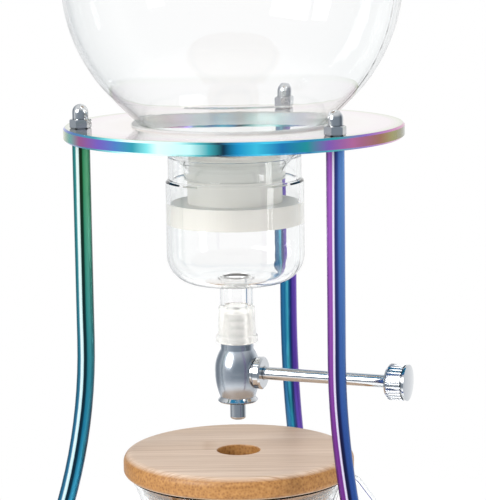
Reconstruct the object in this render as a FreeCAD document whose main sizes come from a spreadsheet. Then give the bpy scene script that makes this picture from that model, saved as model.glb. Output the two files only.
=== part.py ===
import FreeCAD, Part
import math
import os
import re
import Sketcher

# Cold drip coffee tower: a round plate on three bent legs carries a glass globe.
# The globe's neck hangs into a glass cup, whose outlet holds a metal tap, and the
# tap drips through the wooden lid of a glass server that stands on the floor.
# Millimetres, +Z up, origin on the floor on the tower's axis, tap stem along +X.

# Driving sizes
# "drop" is a depth below the plate's top face; "height" is above the floor.
SIZES = [
    ("plate_height", 328, "top face of the round plate above the floor"),
    ("plate_radius", 90, "edge of the plate"),
    ("plate_thick", 7, "plate thickness"),
    ("plate_bevel", 1, "bevel round the plate's edges"),
    ("plate_hole_radius", 52, "hole that the globe hangs in"),
    ("leg_inset", 9, "from the plate's edge in to the circle of the three legs"),
    ("leg_bearing", 90, "bearing of the back leg about Z from the tap's stem, degrees"),
    ("rod_radius", 4.7, "leg rod"),
    ("bend_height", 215, "where the straight leg starts to sweep out"),
    ("leg_sweep_radius", 305, "upper bend of the leg"),
    ("leg_return_radius", 120, "lower bend, back to upright"),
    ("leg_lean", 22, "slope between the two bends, degrees"),
    ("stud_radius", 3, "threaded end of the leg, over its thread"),
    ("stud_clearance", 0.3, "stud to its hole in the plate"),
    ("stud_length", 7.5, "stud above the plate"),
    ("nut_across_flats", 10, "acorn nut"),
    ("nut_hex_height", 4.8, "hexagon of the acorn nut"),
    ("nut_dome_radius", 4.2, "dome of the acorn nut"),
    ("nut_height", 12.7, "whole acorn nut"),
    ("nut_chamfer", 0.6, "turned corners of the hexagon"),
    ("foot_radius", 8, "rubber foot cap"),
    ("foot_height", 14, "rubber foot cap"),
    ("foot_sole", 3, "rubber under the rod"),
    ("foot_round", 2, "rounding of the foot cap"),
    ("seat_lip", 2, "seat ring's lip on the plate"),
    ("seat_lip_thick", 1, "seat ring's lip"),
    ("seat_depth", 5, "seat ring in the plate hole"),
    ("seat_gap", 0.42, "globe to seat ring, measured level"),
    ("globe_radius", 89.5, "globe outside"),
    ("globe_centre_rise", 77, "globe's centre above the plate's top"),
    ("glass_wall", 2.5, "wall of the globe"),
    ("neck_radius", 27, "globe's neck, outside"),
    ("neck_blend", 6, "bend between cone and neck, outside"),
    ("neck_end_drop", 28.7, "lower end of the neck"),
    ("mouth_radius", 47, "globe's mouth, outside"),
    ("mouth_blend", 5, "bend under the mouth, outside"),
    ("mouth_collar", 9, "straight collar of the mouth"),
    ("bung_stub", 12, "bung inside the neck"),
    ("bung_collar_radius", 25.2, "bung under the neck"),
    ("bung_flange_drop", 41.4, "top of the wide flange"),
    ("bung_flange_thick", 11.4, "wide flange that seals the cup"),
    ("bung_bore_radius", 8, "water way through the bung"),
    ("bung_funnel_depth", 6, "flared lower end of that way"),
    ("cup_radius", 36.75, "drip cup outside"),
    ("cup_wall", 2.2, "wall of the drip cup"),
    ("cup_rim_radius", 35.4, "narrower rim of the cup, outside"),
    ("cup_rim_drop", 17.2, "upper end of the cup"),
    ("cup_step_drop", 29, "step between rim and body"),
    ("cup_step", 1.4, "length of the step"),
    ("cup_bottom_drop", 84.7, "underside of the cup"),
    ("cup_corner", 15.5, "rounding of the cup's bottom, outside"),
    ("outlet_radius", 8.8, "outlet tube, outside"),
    ("outlet_bore_radius", 6.6, "outlet tube, inside"),
    ("outlet_ring", 1.3, "fused ring where the tube leaves the cup"),
    ("outlet_ring_thick", 1.6, "fused ring"),
    ("socket_radius", 9.65, "ground socket above its bead, outside"),
    ("socket_shoulder", 1.2, "slope from the tube out to the socket"),
    ("socket_top_drop", 98.4, "upper end of the ground socket"),
    ("socket_mouth_radius", 11.15, "socket's lower end, outside"),
    ("socket_bore_radius", 8.4, "socket's lower end, inside"),
    ("socket_bead", 4.4, "rolled bead at the socket's lower end"),
    ("socket_end_drop", 117.5, "lower end of the socket"),
    ("sleeve_gap", 0.1, "silicone sleeve to the socket"),
    ("spigot_radius", 5.2, "inlet spigot over its rings"),
    ("spigot_groove", 0.7, "depth of the spigot's grooves"),
    ("spigot_rings", 4, "rings on the spigot, a count"),
    ("spigot_top_drop", 101.6, "upper end of the spigot"),
    ("valve_gap", 0.3, "socket's end to the valve"),
    ("valve_axis_drop", 133.6, "axis of the tap's stem"),
    ("valve_collar_radius", 8.75, "upper end of the valve body"),
    ("valve_collar_length", 3.4, "straight part of that end"),
    ("valve_belly_radius", 12, "widest part of the valve body"),
    ("valve_waist_radius", 9.3, "lower end of the belly"),
    ("valve_waist_drop", 147.2, "lower end of the belly"),
    ("valve_shoulder_sweep", 20, "curve above the belly"),
    ("valve_hip_sweep", 34, "curve under the belly"),
    ("water_bore_radius", 2, "water way through the valve"),
    ("nozzle_flange_radius", 10.7, "flange of the drip nozzle"),
    ("nozzle_flange_thick", 2.6, "flange of the drip nozzle"),
    ("nozzle_radius", 4.25, "drip nozzle"),
    ("nozzle_end_drop", 159.6, "lower end of the nozzle"),
    ("nozzle_round", 1.4, "rounded end of the nozzle"),
    ("drip_bore_radius", 1.2, "bore of the nozzle"),
    ("plug_radius", 6, "tap plug that turns in the valve body"),
    ("plug_half_length", 8.5, "tap plug each side of the valve's axis"),
    ("running_gap", 0.05, "turning parts in their bores"),
    ("packing_thick", 1.5, "soft packing round the stem"),
    ("packing_nut_radius", 8.75, "packing nut"),
    ("packing_nut_end", 15.3, "outer face of the packing nut from the valve's axis"),
    ("packing_nut_length", 4.4, "wide part of the packing nut"),
    ("packing_neck_radius", 7.4, "narrower part against the belly"),
    ("packing_nut_chamfer", 0.8, "packing nut"),
    ("stem_radius", 3.4, "tap stem"),
    ("stem_spigot_radius", 2, "end of the stem inside the plug"),
    ("stem_spigot_length", 3.5, "end of the stem inside the plug"),
    ("knob_start", 84.5, "inner face of the knob from the valve's axis"),
    ("knob_length", 12, "knob"),
    ("knob_radius", 9.5, "knob over its flutes"),
    ("knob_chamfer", 1.6, "inner end of the knob"),
    ("knob_groove_width", 1.2, "groove near the outer end"),
    ("knob_groove_depth", 1, "groove near the outer end"),
    ("knob_rim", 1.8, "rim outside the groove"),
    ("knob_dome", 0.8, "crowned end face"),
    ("knob_web", 2.5, "knob beyond the end of the stem"),
    ("flute_count", 30, "flutes on the knob, a count"),
    ("flute_radius", 0.62, "one flute"),
    ("screw_radius", 1.5, "set screw of the knob"),
    ("jar_height", 139.2, "server glass"),
    ("jar_wall", 2.2, "wall of the server"),
    ("waist_radius", 52, "server's waist, outside"),
    ("waist_drop", 25.2, "server's waist, below its rim"),
    ("waist_sweep", 46, "curve of the waist, outside"),
    ("bulb_radius", 66, "widest part of the server, outside"),
    ("bulb_sweep", 89.57, "curve of the bulb, outside"),
    ("base_corner", 6, "rounding of the server's base, outside"),
    ("handle_rod_radius", 4.5, "glass handle"),
    ("handle_top_drop", 8.2, "handle leaves the neck, below the server's rim"),
    ("handle_top_reach", 62, "upper corner of the handle from the axis"),
    ("handle_low_drop", 51.2, "lower corner of the handle, below the rim"),
    ("handle_low_reach", 92, "lower corner of the handle from the axis"),
    ("handle_end_drop", 81.2, "handle meets the bulb, below the rim"),
    ("handle_top_bend", 10, "upper corner's radius"),
    ("handle_low_bend", 16, "lower corner's radius"),
    ("lid_radius", 62.2, "server's wooden lid"),
    ("lid_thick", 12, "both wooden lids"),
    ("lid_round_top", 5, "upper rounding of the lids' edge"),
    ("lid_round_low", 3, "lower rounding of the lids' edge"),
    ("drip_hole_radius", 11.5, "hole in the server's lid"),
    ("drip_hole_round", 1, "rounded edge of that hole"),
    ("lid_plug_radius", 50, "plug under the server's lid"),
    ("lid_plug_depth", 10, "plug under the server's lid"),
    ("seal_thick", 3, "silicone ring on a lid's plug"),
    ("seal_groove", 1.2, "groove for that ring"),
    ("seal_gap", 0.35, "ring to glass"),
    ("top_lid_radius", 56, "globe's wooden lid"),
    ("top_plug_gap", 2, "globe lid's plug to the glass"),
    ("top_plug_depth", 8, "plug under the globe's lid"),
    ("filter_drop", 18.2, "underside of the filter's rim, below the server's rim"),
    ("filter_rim_thick", 3, "filter's rim"),
    ("filter_rim_width", 3.4, "filter's rim, level"),
    ("filter_wall", 0.8, "mesh wall of the filter"),
    ("filter_taper", 6, "basket narrower at its bottom by this radius"),
    ("filter_bottom_height", 46, "underside of the basket"),
]

doc = FreeCAD.newDocument("ColdDripTower")
sheet = doc.addObject("Spreadsheet::Sheet", "Sizes")
for row, (alias, value, note) in enumerate(SIZES, start=1):
    sheet.set(f"A{row}", alias)
    sheet.set(f"B{row}", str(value))
    sheet.setAlias(f"B{row}", alias)
    sheet.set(f"C{row}", note)
doc.recompute()

UP = FreeCAD.Vector(0, 0, 1)
ACROSS = FreeCAD.Vector(0, 1, 0)
ORIGIN = FreeCAD.Vector(0, 0, 0)
NODES = []


def bound(expression):
    """The expression with each sheet name written out for an object of the document."""
    return re.sub(r"\b([a-z]+(?:_[a-z]+)+)\b", r"Sizes.\1", expression)


def size(expression):
    """The expression's value now, in millimetres or degrees."""
    return float(sheet.evalExpression(bound(expression)))


# Heights and places that several pieces share
NECK_BORE = "(neck_radius - glass_wall)"
MOUTH_RIM = (
    "(plate_height + globe_centre_rise + mouth_collar"
    " + sqrt((globe_radius + mouth_blend)^2 - (mouth_radius + mouth_blend)^2))"
)
# The globe's outside is a cone of 45 degrees under the ball: radius = rise + this
CONE_RADIUS = "(globe_radius * sqrt(2) - globe_centre_rise)"
LEG_CIRCLE = "(plate_radius - leg_inset)"
LEG_SWING = "(leg_sweep_radius + leg_return_radius)"
LEG_SLANT = f"((bend_height - foot_height - {LEG_SWING} * sin(leg_lean)) / cos(leg_lean))"
FOOT_REACH = (
    f"({LEG_CIRCLE} + {LEG_SWING} * (1 - cos(leg_lean)) + {LEG_SLANT} * sin(leg_lean))"
)
CUP_BORE = "(cup_radius - cup_wall)"
SOCKET_END = "(plate_height - socket_end_drop)"
VALVE_TOP = f"({SOCKET_END} - valve_gap)"
VALVE_AXIS = "(plate_height - valve_axis_drop)"
VALVE_WAIST = "(plate_height - valve_waist_drop)"
PLUG_BORE = "(plug_radius + running_gap)"
LID_TOP = "(jar_height + lid_thick)"
SEAL_HEIGHT = "(jar_height - lid_plug_depth + 2 * seal_groove)"
WAIST_HEIGHT = "(jar_height - waist_drop)"
FILTER_HEIGHT = "(jar_height - filter_drop)"


def jar_bore(height):
    """Inner radius of the server's neck at a height."""
    return (
        "(waist_radius + waist_sweep"
        f" - sqrt((waist_sweep + jar_wall)^2 - ({height} - {WAIST_HEIGHT})^2))"
    )


def keep(thing, label):
    """Label a finished sub-part and list it for writing."""
    thing.Label = label
    NODES.append(thing)
    return thing


def origin_feature(body, role):
    """A plane or axis of the body's own origin."""
    return next(f for f in body.Origin.OriginFeatures if f.Role == role)


def sketch_on(body, role, name):
    """A sketch on one of the body's origin planes."""
    sketch = body.newObject("Sketcher::SketchObject", name)
    sketch.AttachmentSupport = (origin_feature(body, role), [""])
    sketch.MapMode = "FlatFace"
    return sketch


def arc_between(start, end, radius, turn):
    """An arc under a half circle; turn is 1 for anticlockwise and -1 for clockwise."""
    chord = end - start
    half = chord.Length / 2
    side = FreeCAD.Vector(-chord.y, chord.x, 0).normalize() * turn
    centre = start + chord / 2 + side * math.sqrt(max(radius**2 - half**2, 0))
    first, last = (start, end) if turn > 0 else (end, start)
    from_angle = math.atan2(first.y - centre.y, first.x - centre.x)
    to_angle = math.atan2(last.y - centre.y, last.x - centre.x)
    if to_angle < from_angle:
        to_angle += 2 * math.pi
    return Part.ArcOfCircle(Part.Circle(centre, UP, radius), from_angle, to_angle)


def draw_outline(sketch, outline, closed=True):
    """Lines and arcs through corners (x, y) or (x, y, arc radius, turn), bound to the sheet."""
    corners = [FreeCAD.Vector(size(c[0]), size(c[1]), 0) for c in outline]
    count = len(outline)
    ends = []
    for i in range(count if closed else count - 1):
        start, end = corners[i], corners[(i + 1) % count]
        if len(outline[i]) == 2:
            piece = sketch.addGeometry(Part.LineSegment(start, end))
            ends.append((piece, 1, 2))
        else:
            arc_radius, turn = outline[i][2:]
            piece = sketch.addGeometry(arc_between(start, end, size(arc_radius), turn))
            ends.append((piece, 1, 2) if turn > 0 else (piece, 2, 1))
            row = sketch.addConstraint(Sketcher.Constraint("Radius", piece, size(arc_radius)))
            sketch.setExpression(f"Constraints[{row}]", bound(arc_radius))
    for i, corner in enumerate(outline):
        if i < len(ends):
            piece, point = ends[i][0], ends[i][1]
        else:
            piece, point = ends[-1][0], ends[-1][2]
        if i < len(ends) and (closed or i > 0):
            before = ends[i - 1]
            sketch.addConstraint(
                Sketcher.Constraint("Coincident", before[0], before[2], piece, point)
            )
        for kind, axis, where in (("DistanceX", -2, corner[0]), ("DistanceY", -1, corner[1])):
            if where == "0":
                sketch.addConstraint(Sketcher.Constraint("PointOnObject", piece, point, axis))
                continue
            row = sketch.addConstraint(
                Sketcher.Constraint(kind, -1, 1, piece, point, size(where))
            )
            sketch.setExpression(f"Constraints[{row}]", bound(where))


def turned(name, outline):
    """A body turned about Z from an outline of (radius, height) corners."""
    body = doc.addObject("PartDesign::Body", name)
    sketch = sketch_on(body, "XZ_Plane", name + "_outline")
    draw_outline(sketch, outline)
    form = body.newObject("PartDesign::Revolution", name + "_turned")
    form.Profile = sketch
    form.ReferenceAxis = (sketch, ["V_Axis"])
    form.Angle = 360
    sketch.Visibility = False
    return body


def round_hole(body, name, radius, length, place):
    """A round hole cut in a body, from place along its own Z."""
    hole = body.newObject("PartDesign::SubtractiveCylinder", name)
    hole.setExpression("Radius", bound(radius))
    hole.setExpression("Height", bound(length))
    hole.Placement = place
    body.Tip = hole
    return hole


def ring_of(body, feature, count):
    """Copies of a feature at even steps about the body's Z axis."""
    pattern = body.newObject("PartDesign::PolarPattern", feature.Name + "_ring")
    pattern.Originals = [feature]
    pattern.Axis = (origin_feature(body, "Z_Axis"), [""])
    pattern.Angle = 360
    pattern.Occurrences = count
    body.Tip = pattern
    return pattern


def turn_to(bearing):
    """A turn about the tower's axis."""
    return FreeCAD.Placement(ORIGIN, FreeCAD.Rotation(UP, bearing))


def along_stem(reach):
    """A piece drawn up its own Z, laid along the tap's stem from this reach."""
    spot = FreeCAD.Vector(size(reach), 0, size(VALVE_AXIS))
    return FreeCAD.Placement(spot, FreeCAD.Rotation(ACROSS, 90))


def fixed_shape(name, shape):
    """A sub-part whose form is set by tangent arcs worked out from the sheet."""
    thing = doc.addObject("Part::Feature", name)
    thing.Shape = shape
    return thing


class Outline:
    """A run of lines and arcs in the XZ plane."""

    def __init__(self, across, height):
        self.at = FreeCAD.Vector(across, 0, height)
        self.first = self.at
        self.edges = []

    def line(self, across, height):
        """A straight edge to a point."""
        end = FreeCAD.Vector(across, 0, height)
        self.edges.append(Part.LineSegment(self.at, end).toShape())
        self.at = end
        return self

    def arc(self, across, height, centre_across, centre_height):
        """The shorter arc about a centre to a point."""
        end = FreeCAD.Vector(across, 0, height)
        centre = FreeCAD.Vector(centre_across, 0, centre_height)
        middle = (self.at - centre) + (end - centre)
        middle = centre + middle.normalize() * (self.at - centre).Length
        self.edges.append(Part.Arc(self.at, middle, end).toShape())
        self.at = end
        return self

    def revolve(self):
        """Close the outline and turn it about Z."""
        if (self.at - self.first).Length > 1e-7:
            self.line(self.first.x, self.first.z)
        return Part.Face(Part.Wire(self.edges)).revolve(ORIGIN, UP, 360)


# Stand
BEARINGS = {"back": 0, "left": 120, "right": 240}


def leg_bearing(name):
    """Bearing of one leg about Z."""
    return size("leg_bearing") + BEARINGS[name]


def top_plate():
    """Round plate with a bevelled edge, a hole for the globe and three stud holes."""
    low = "plate_height - plate_thick"
    body = turned(
        "PlateBody",
        [
            ("plate_hole_radius", low),
            ("plate_radius - plate_bevel", low),
            ("plate_radius", low + " + plate_bevel"),
            ("plate_radius", "plate_height - plate_bevel"),
            ("plate_radius - plate_bevel", "plate_height"),
            ("plate_hole_radius", "plate_height"),
        ],
    )
    spot = FreeCAD.Vector(size(LEG_CIRCLE), 0, size(low) - 1)
    spot = turn_to(leg_bearing("back")).multVec(spot)
    hole = round_hole(
        body,
        "StudHole",
        "stud_radius + stud_clearance",
        "plate_thick + 2",
        FreeCAD.Placement(spot, FreeCAD.Rotation()),
    )
    ring_of(body, hole, len(BEARINGS))
    keep(body, "top_plate")


def leg(name):
    """Bent rod whose turned end is the stud for the acorn nut."""
    body = doc.addObject("PartDesign::Body", "Leg" + name.title())
    route = sketch_on(body, "XZ_Plane", "LegRoute" + name.title())
    sweep = f"{LEG_CIRCLE} + leg_sweep_radius * (1 - cos(leg_lean))"
    slant_end = f"{sweep} + {LEG_SLANT} * sin(leg_lean)"
    sweep_low = "bend_height - leg_sweep_radius * sin(leg_lean)"
    draw_outline(
        route,
        [
            (LEG_CIRCLE, "plate_height - plate_thick"),
            (LEG_CIRCLE, "bend_height", "leg_sweep_radius", 1),
            (sweep, sweep_low),
            (slant_end, "foot_height + leg_return_radius * sin(leg_lean)",
             "leg_return_radius", -1),
            (FOOT_REACH, "foot_height"),
            (FOOT_REACH, "foot_sole"),
        ],
        closed=False,
    )
    section = sketch_on(body, "XY_Plane", "LegSection" + name.title())
    section.AttachmentOffset = FreeCAD.Placement(
        FreeCAD.Vector(0, 0, size("plate_height - plate_thick")), FreeCAD.Rotation()
    )
    section.setExpression(
        ".AttachmentOffset.Base.z", bound("plate_height - plate_thick")
    )
    centre = FreeCAD.Vector(size(LEG_CIRCLE), 0, 0)
    circle = section.addGeometry(Part.Circle(centre, UP, size("rod_radius")))
    section.addConstraint(Sketcher.Constraint("PointOnObject", circle, 3, -1))
    for kind, where in (("DistanceX", LEG_CIRCLE), ("Radius", "rod_radius")):
        if kind == "Radius":
            rule = Sketcher.Constraint(kind, circle, size(where))
        else:
            rule = Sketcher.Constraint(kind, -1, 1, circle, 3, size(where))
        section.setExpression(f"Constraints[{section.addConstraint(rule)}]", bound(where))
    pipe = body.newObject("PartDesign::AdditivePipe", "LegRod" + name.title())
    pipe.Profile = section
    pipe.Spine = (route, [])
    stud = body.newObject("PartDesign::AdditiveCylinder", "LegStud" + name.title())
    stud.setExpression("Radius", bound("stud_radius"))
    stud.setExpression("Height", bound("plate_thick + stud_length"))
    stud.Placement.Base = FreeCAD.Vector(
        size(LEG_CIRCLE), 0, size("plate_height - plate_thick")
    )
    body.Tip = stud
    body.Placement = turn_to(leg_bearing(name))
    keep(body, "leg_" + name)


def on_each_leg(name, shape, reach):
    """One group of three like solids, one at each leg."""
    copies = []
    for where in BEARINGS:
        copy = shape.copy()
        copy.translate(FreeCAD.Vector(reach, 0, 0))
        copy.Placement = turn_to(leg_bearing(where)).multiply(copy.Placement)
        copies.append(copy)
    return keep(fixed_shape(name.title().replace("_", ""), Part.makeCompound(copies)), name)


def cap_nuts():
    """Acorn nuts: a hexagon with turned corners under a dome, on the studs."""
    corner = "(nut_across_flats / (2 * cos(30)))"
    low = "plate_height"
    blank = turned(
        "NutBlank",
        [
            ("stud_radius", low),
            (corner + " - nut_chamfer", low),
            (corner, low + " + nut_chamfer"),
            (corner, low + " + nut_hex_height - nut_chamfer"),
            (corner + " - nut_chamfer", low + " + nut_hex_height"),
            ("nut_dome_radius", low + " + nut_hex_height"),
            ("nut_dome_radius", low + " + nut_height - nut_dome_radius",
             "nut_dome_radius", 1),
            ("0", low + " + nut_height"),
            ("0", low + " + stud_length"),
            ("stud_radius", low + " + stud_length"),
        ],
    )
    hexagon = doc.addObject("Part::Prism", "NutHexagon")
    hexagon.Polygon = 6
    hexagon.setExpression("Circumradius", bound(corner))
    hexagon.setExpression("Height", bound("nut_height"))
    hexagon.setExpression(".Placement.Base.z", bound(low))
    nut = doc.addObject("Part::Common", "AcornNut")
    nut.Base = blank
    nut.Tool = hexagon
    doc.recompute()
    on_each_leg("cap_nuts", nut.Shape, size(LEG_CIRCLE))


def foot_caps():
    """Rubber caps that the rods stand in."""
    cap = turned(
        "FootCap",
        [
            ("0", "0"),
            ("foot_radius", "0"),
            ("foot_radius", "foot_height - foot_round", "foot_round", 1),
            ("foot_radius - foot_round", "foot_height"),
            ("rod_radius", "foot_height"),
            ("rod_radius", "foot_sole"),
            ("0", "foot_sole"),
        ],
    )
    doc.recompute()
    on_each_leg("foot_caps", cap.Shape, size(FOOT_REACH))


def seat_ring():
    """Clear ring in the plate's hole, coned like the globe that sits in it."""
    lip = "(plate_height + seat_lip_thick)"
    low = "(plate_height - seat_depth)"
    body = turned(
        "SeatRing",
        [
            (f"{CONE_RADIUS} - seat_depth + seat_gap", low),
            ("plate_hole_radius", low),
            ("plate_hole_radius", "plate_height"),
            ("plate_hole_radius + seat_lip", "plate_height"),
            ("plate_hole_radius + seat_lip", lip),
            (f"{CONE_RADIUS} + seat_lip_thick + seat_gap", lip),
        ],
    )
    keep(body, "seat_ring")


# Reservoir: the globe, and the cup that hangs on its neck
def globe():
    """Blown globe: neck, cone, ball and mouth as tangent lines and arcs."""
    ball, wall = size("globe_radius"), size("glass_wall")
    centre = size("plate_height + globe_centre_rise")
    neck, mouth = size("neck_radius"), size("mouth_radius")
    low = size("plate_height - neck_end_drop")
    rim = size(MOUTH_RIM)
    lip = wall / 2
    slope = math.sqrt(0.5)
    bend, top_bend = size("neck_blend"), size("mouth_blend")
    # The neck's bend: its centre is outside the wall, level with the neck's tangent point
    bend_centre = neck + bend
    cone = size(CONE_RADIUS)
    bend_height = (
        size("plate_height") + bend_centre - bend * math.sqrt(2) - cone
    )
    top_centre = mouth + top_bend
    top_height = rim - size("mouth_collar")
    top_reach = math.hypot(top_centre, top_height - centre)

    def skin(offset):
        """Corners of one face of the wall, offset inwards, from the neck up."""
        near = ball - offset
        turn = bend + offset
        top_turn = top_bend + offset
        return {
            "neck": (neck - offset, low),
            "neck_end": (neck - offset, bend_height),
            "cone_start": (bend_centre - turn * slope, bend_height + turn * slope),
            "cone_end": (near * slope, centre - near * slope),
            "equator": (near, centre),
            "ball_end": (
                top_centre * near / top_reach,
                centre + (top_height - centre) * near / top_reach,
            ),
            "collar": (top_centre - top_turn, top_height),
        }

    outer, inner = skin(0), skin(wall)
    path = Outline(*outer["neck"])
    path.line(*outer["neck_end"])
    path.arc(*outer["cone_start"], bend_centre, bend_height)
    path.line(*outer["cone_end"])
    path.arc(*outer["equator"], 0, centre)
    path.arc(*outer["ball_end"], 0, centre)
    path.arc(*outer["collar"], top_centre, top_height)
    path.line(mouth, rim - lip)
    path.arc(mouth - lip, rim, mouth - lip, rim - lip)
    path.arc(mouth - wall, rim - lip, mouth - lip, rim - lip)
    path.line(*inner["collar"])
    path.arc(*inner["ball_end"], top_centre, top_height)
    path.arc(*inner["equator"], 0, centre)
    path.arc(*inner["cone_end"], 0, centre)
    path.line(*inner["cone_start"])
    path.arc(*inner["neck_end"], bend_centre, bend_height)
    path.line(*inner["neck"])
    keep(fixed_shape("Globe", path.revolve()), "globe")


def neck_bung():
    """Stepped silicone bung: a stub in the neck, a collar, and a flange in the cup."""
    neck_end = "(plate_height - neck_end_drop)"
    flange = "(plate_height - bung_flange_drop)"
    low = f"({flange} - bung_flange_thick)"
    body = turned(
        "NeckBung",
        [
            ("bung_bore_radius", f"{low} + bung_funnel_depth"),
            ("bung_bore_radius + bung_funnel_depth", low),
            (CUP_BORE, low),
            (CUP_BORE, flange),
            ("bung_collar_radius", flange),
            ("bung_collar_radius", neck_end),
            (NECK_BORE, neck_end),
            (NECK_BORE, f"{neck_end} + bung_stub"),
            ("bung_bore_radius", f"{neck_end} + bung_stub"),
        ],
    )
    keep(body, "neck_bung")


def drip_cup():
    """Glass cup with a stepped rim, a fused outlet tube and a ground socket."""
    top, wall = size("plate_height"), size("cup_wall")
    radius, rim = size("cup_radius"), size("cup_rim_radius")
    step_high = top - size("cup_step_drop")
    step_low = step_high - size("cup_step")
    floor = top - size("cup_bottom_drop")
    corner = size("cup_corner")
    inner_corner = corner - wall
    tube, bore = size("outlet_radius"), size("outlet_bore_radius")
    ring = tube + size("outlet_ring")
    ring_low = floor - size("outlet_ring_thick")
    socket_top = top - size("socket_top_drop")
    end, bead = size(SOCKET_END), size("socket_bead")
    mouth, mouth_bore = size("socket_mouth_radius"), size("socket_bore_radius")
    path = Outline(rim - wall, top - size("cup_rim_drop"))
    path.line(rim - wall, step_high)
    path.line(radius - wall, step_low)
    path.line(radius - wall, floor + wall + inner_corner)
    path.arc(
        radius - corner, floor + wall, radius - corner, floor + wall + inner_corner
    )
    path.line(bore, floor + wall)
    path.line(bore, socket_top)
    path.line(mouth_bore, end)
    path.line(mouth - bead / 4, end)
    path.arc(mouth, end + bead / 4, mouth - bead / 4, end + bead / 4)
    path.line(mouth, end + bead * 3 / 4)
    path.arc(
        mouth - bead / 4, end + bead, mouth - bead / 4, end + bead * 3 / 4
    )
    path.line(size("socket_radius"), socket_top)
    path.line(tube, socket_top + size("socket_shoulder"))
    path.line(tube, ring_low)
    path.line(ring, ring_low)
    path.line(ring, floor)
    path.line(radius - corner, floor)
    path.arc(radius, floor + corner, radius - corner, floor + corner)
    path.line(radius, step_low)
    path.line(rim, step_high)
    path.line(rim, top - size("cup_rim_drop"))
    keep(fixed_shape("DripCup", path.revolve()), "drip_cup")


def lid_outline(bore, radius, low, plug, depth, seal_low):
    """Outline of a wooden lid: rounded edge, plug below, groove for its seal."""
    high = f"({low} + lid_thick)"
    outline = [
        (bore, f"{low} - {depth}"),
        (plug, f"{low} - {depth}"),
        (plug, seal_low),
        (f"{plug} - seal_groove", seal_low),
        (f"{plug} - seal_groove", f"{seal_low} + seal_thick"),
        (plug, f"{seal_low} + seal_thick"),
        (plug, low),
        (f"{radius} - lid_round_low", low, "lid_round_low", 1),
        (radius, f"{low} + lid_round_low"),
        (radius, f"{high} - lid_round_top", "lid_round_top", 1),
        (f"{radius} - lid_round_top", high),
    ]
    if bore == "0":
        return outline + [("0", high)]
    return outline + [
        (f"{bore} + drip_hole_round", high, "drip_hole_round", 1),
        (bore, f"{high} - drip_hole_round"),
    ]


def ring(name, label, inner, outer, low, thick):
    """A plain ring with its corners broken."""
    edge = f"({thick} / 6)"
    body = turned(
        name,
        [
            (inner, low),
            (f"{outer} - {edge}", low),
            (outer, f"{low} + {edge}"),
            (outer, f"{low} + {thick} - {edge}"),
            (f"{outer} - {edge}", f"{low} + {thick}"),
            (inner, f"{low} + {thick}"),
        ],
    )
    return keep(body, label)


def reservoir_lid():
    """Wooden lid on the globe's mouth, with its silicone ring."""
    bore = "(mouth_radius - glass_wall)"
    plug = f"({bore} - top_plug_gap)"
    seal_low = f"({MOUTH_RIM} - top_plug_depth + 2 * seal_groove)"
    body = turned(
        "ReservoirLid",
        lid_outline("0", "top_lid_radius", MOUTH_RIM, plug, "top_plug_depth", seal_low),
    )
    keep(body, "reservoir_lid")
    ring(
        "ReservoirLidSeal",
        "reservoir_lid_seal",
        f"{plug} - seal_groove",
        f"{bore} - seal_gap",
        seal_low,
        "seal_thick",
    )


# Valve: the body that pushes up into the socket
def valve_form():
    """Turned outside of the valve body, without its bores."""
    return turned(
        "ValveForm",
        [
            ("0", VALVE_WAIST),
            ("valve_waist_radius", VALVE_WAIST, "valve_hip_sweep", 1),
            ("valve_belly_radius", VALVE_AXIS, "valve_shoulder_sweep", 1),
            ("valve_collar_radius", f"{VALVE_TOP} - valve_collar_length"),
            ("valve_collar_radius", VALVE_TOP),
            ("0", VALVE_TOP),
        ],
    )


def level_bore(name, radius, start, length):
    """A round bar along the stem's axis, for cutting."""
    bar = doc.addObject("Part::Cylinder", name)
    bar.setExpression("Radius", bound(radius))
    bar.setExpression("Height", bound(length))
    bar.Placement = along_stem(start)
    return bar


def cut(name, base, tool):
    """Base with the tool taken away."""
    result = doc.addObject("Part::Cut", name)
    result.Base = base
    result.Tool = tool
    return result


def valve_body():
    """Vase-shaped body with a bore for the plug and a water way from end to end."""
    water = doc.addObject("Part::Cylinder", "WaterWay")
    water.setExpression("Radius", bound("water_bore_radius"))
    water.setExpression("Height", bound(f"{VALVE_TOP} - {VALVE_WAIST}"))
    water.setExpression(".Placement.Base.z", bound(VALVE_WAIST))
    plug_bore = level_bore(
        "PlugBore",
        PLUG_BORE,
        "-(plug_half_length + running_gap)",
        "plug_half_length + 2 * valve_belly_radius",
    )
    body = cut("ValveBody", cut("ValveBored", valve_form(), plug_bore), water)
    keep(body, "valve_body")


def packing_nut():
    """Nut that fits the belly's curve and holds the packing round the stem."""
    end = "(packing_nut_end - plug_radius)"
    blank = turned(
        "PackingNutBlank",
        [
            ("stem_radius + running_gap", "0"),
            ("packing_neck_radius", "0"),
            ("packing_neck_radius", f"{end} - packing_nut_length"),
            ("packing_nut_radius - packing_nut_chamfer", f"{end} - packing_nut_length"),
            ("packing_nut_radius", f"{end} - packing_nut_length + packing_nut_chamfer"),
            ("packing_nut_radius", f"{end} - packing_nut_chamfer"),
            ("packing_nut_radius - packing_nut_chamfer", end),
            ("stem_radius + running_gap", end),
        ],
    )
    blank.Placement = along_stem("plug_radius")
    keep(cut("PackingNut", blank, valve_form()), "packing_nut")
    packing = turned(
        "StemPacking",
        [
            ("stem_radius + running_gap", "0"),
            (PLUG_BORE, "0"),
            (PLUG_BORE, "packing_thick"),
            ("stem_radius + running_gap", "packing_thick"),
        ],
    )
    packing.Placement = along_stem("plug_half_length + 2 * running_gap")
    keep(packing, "stem_packing")


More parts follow.
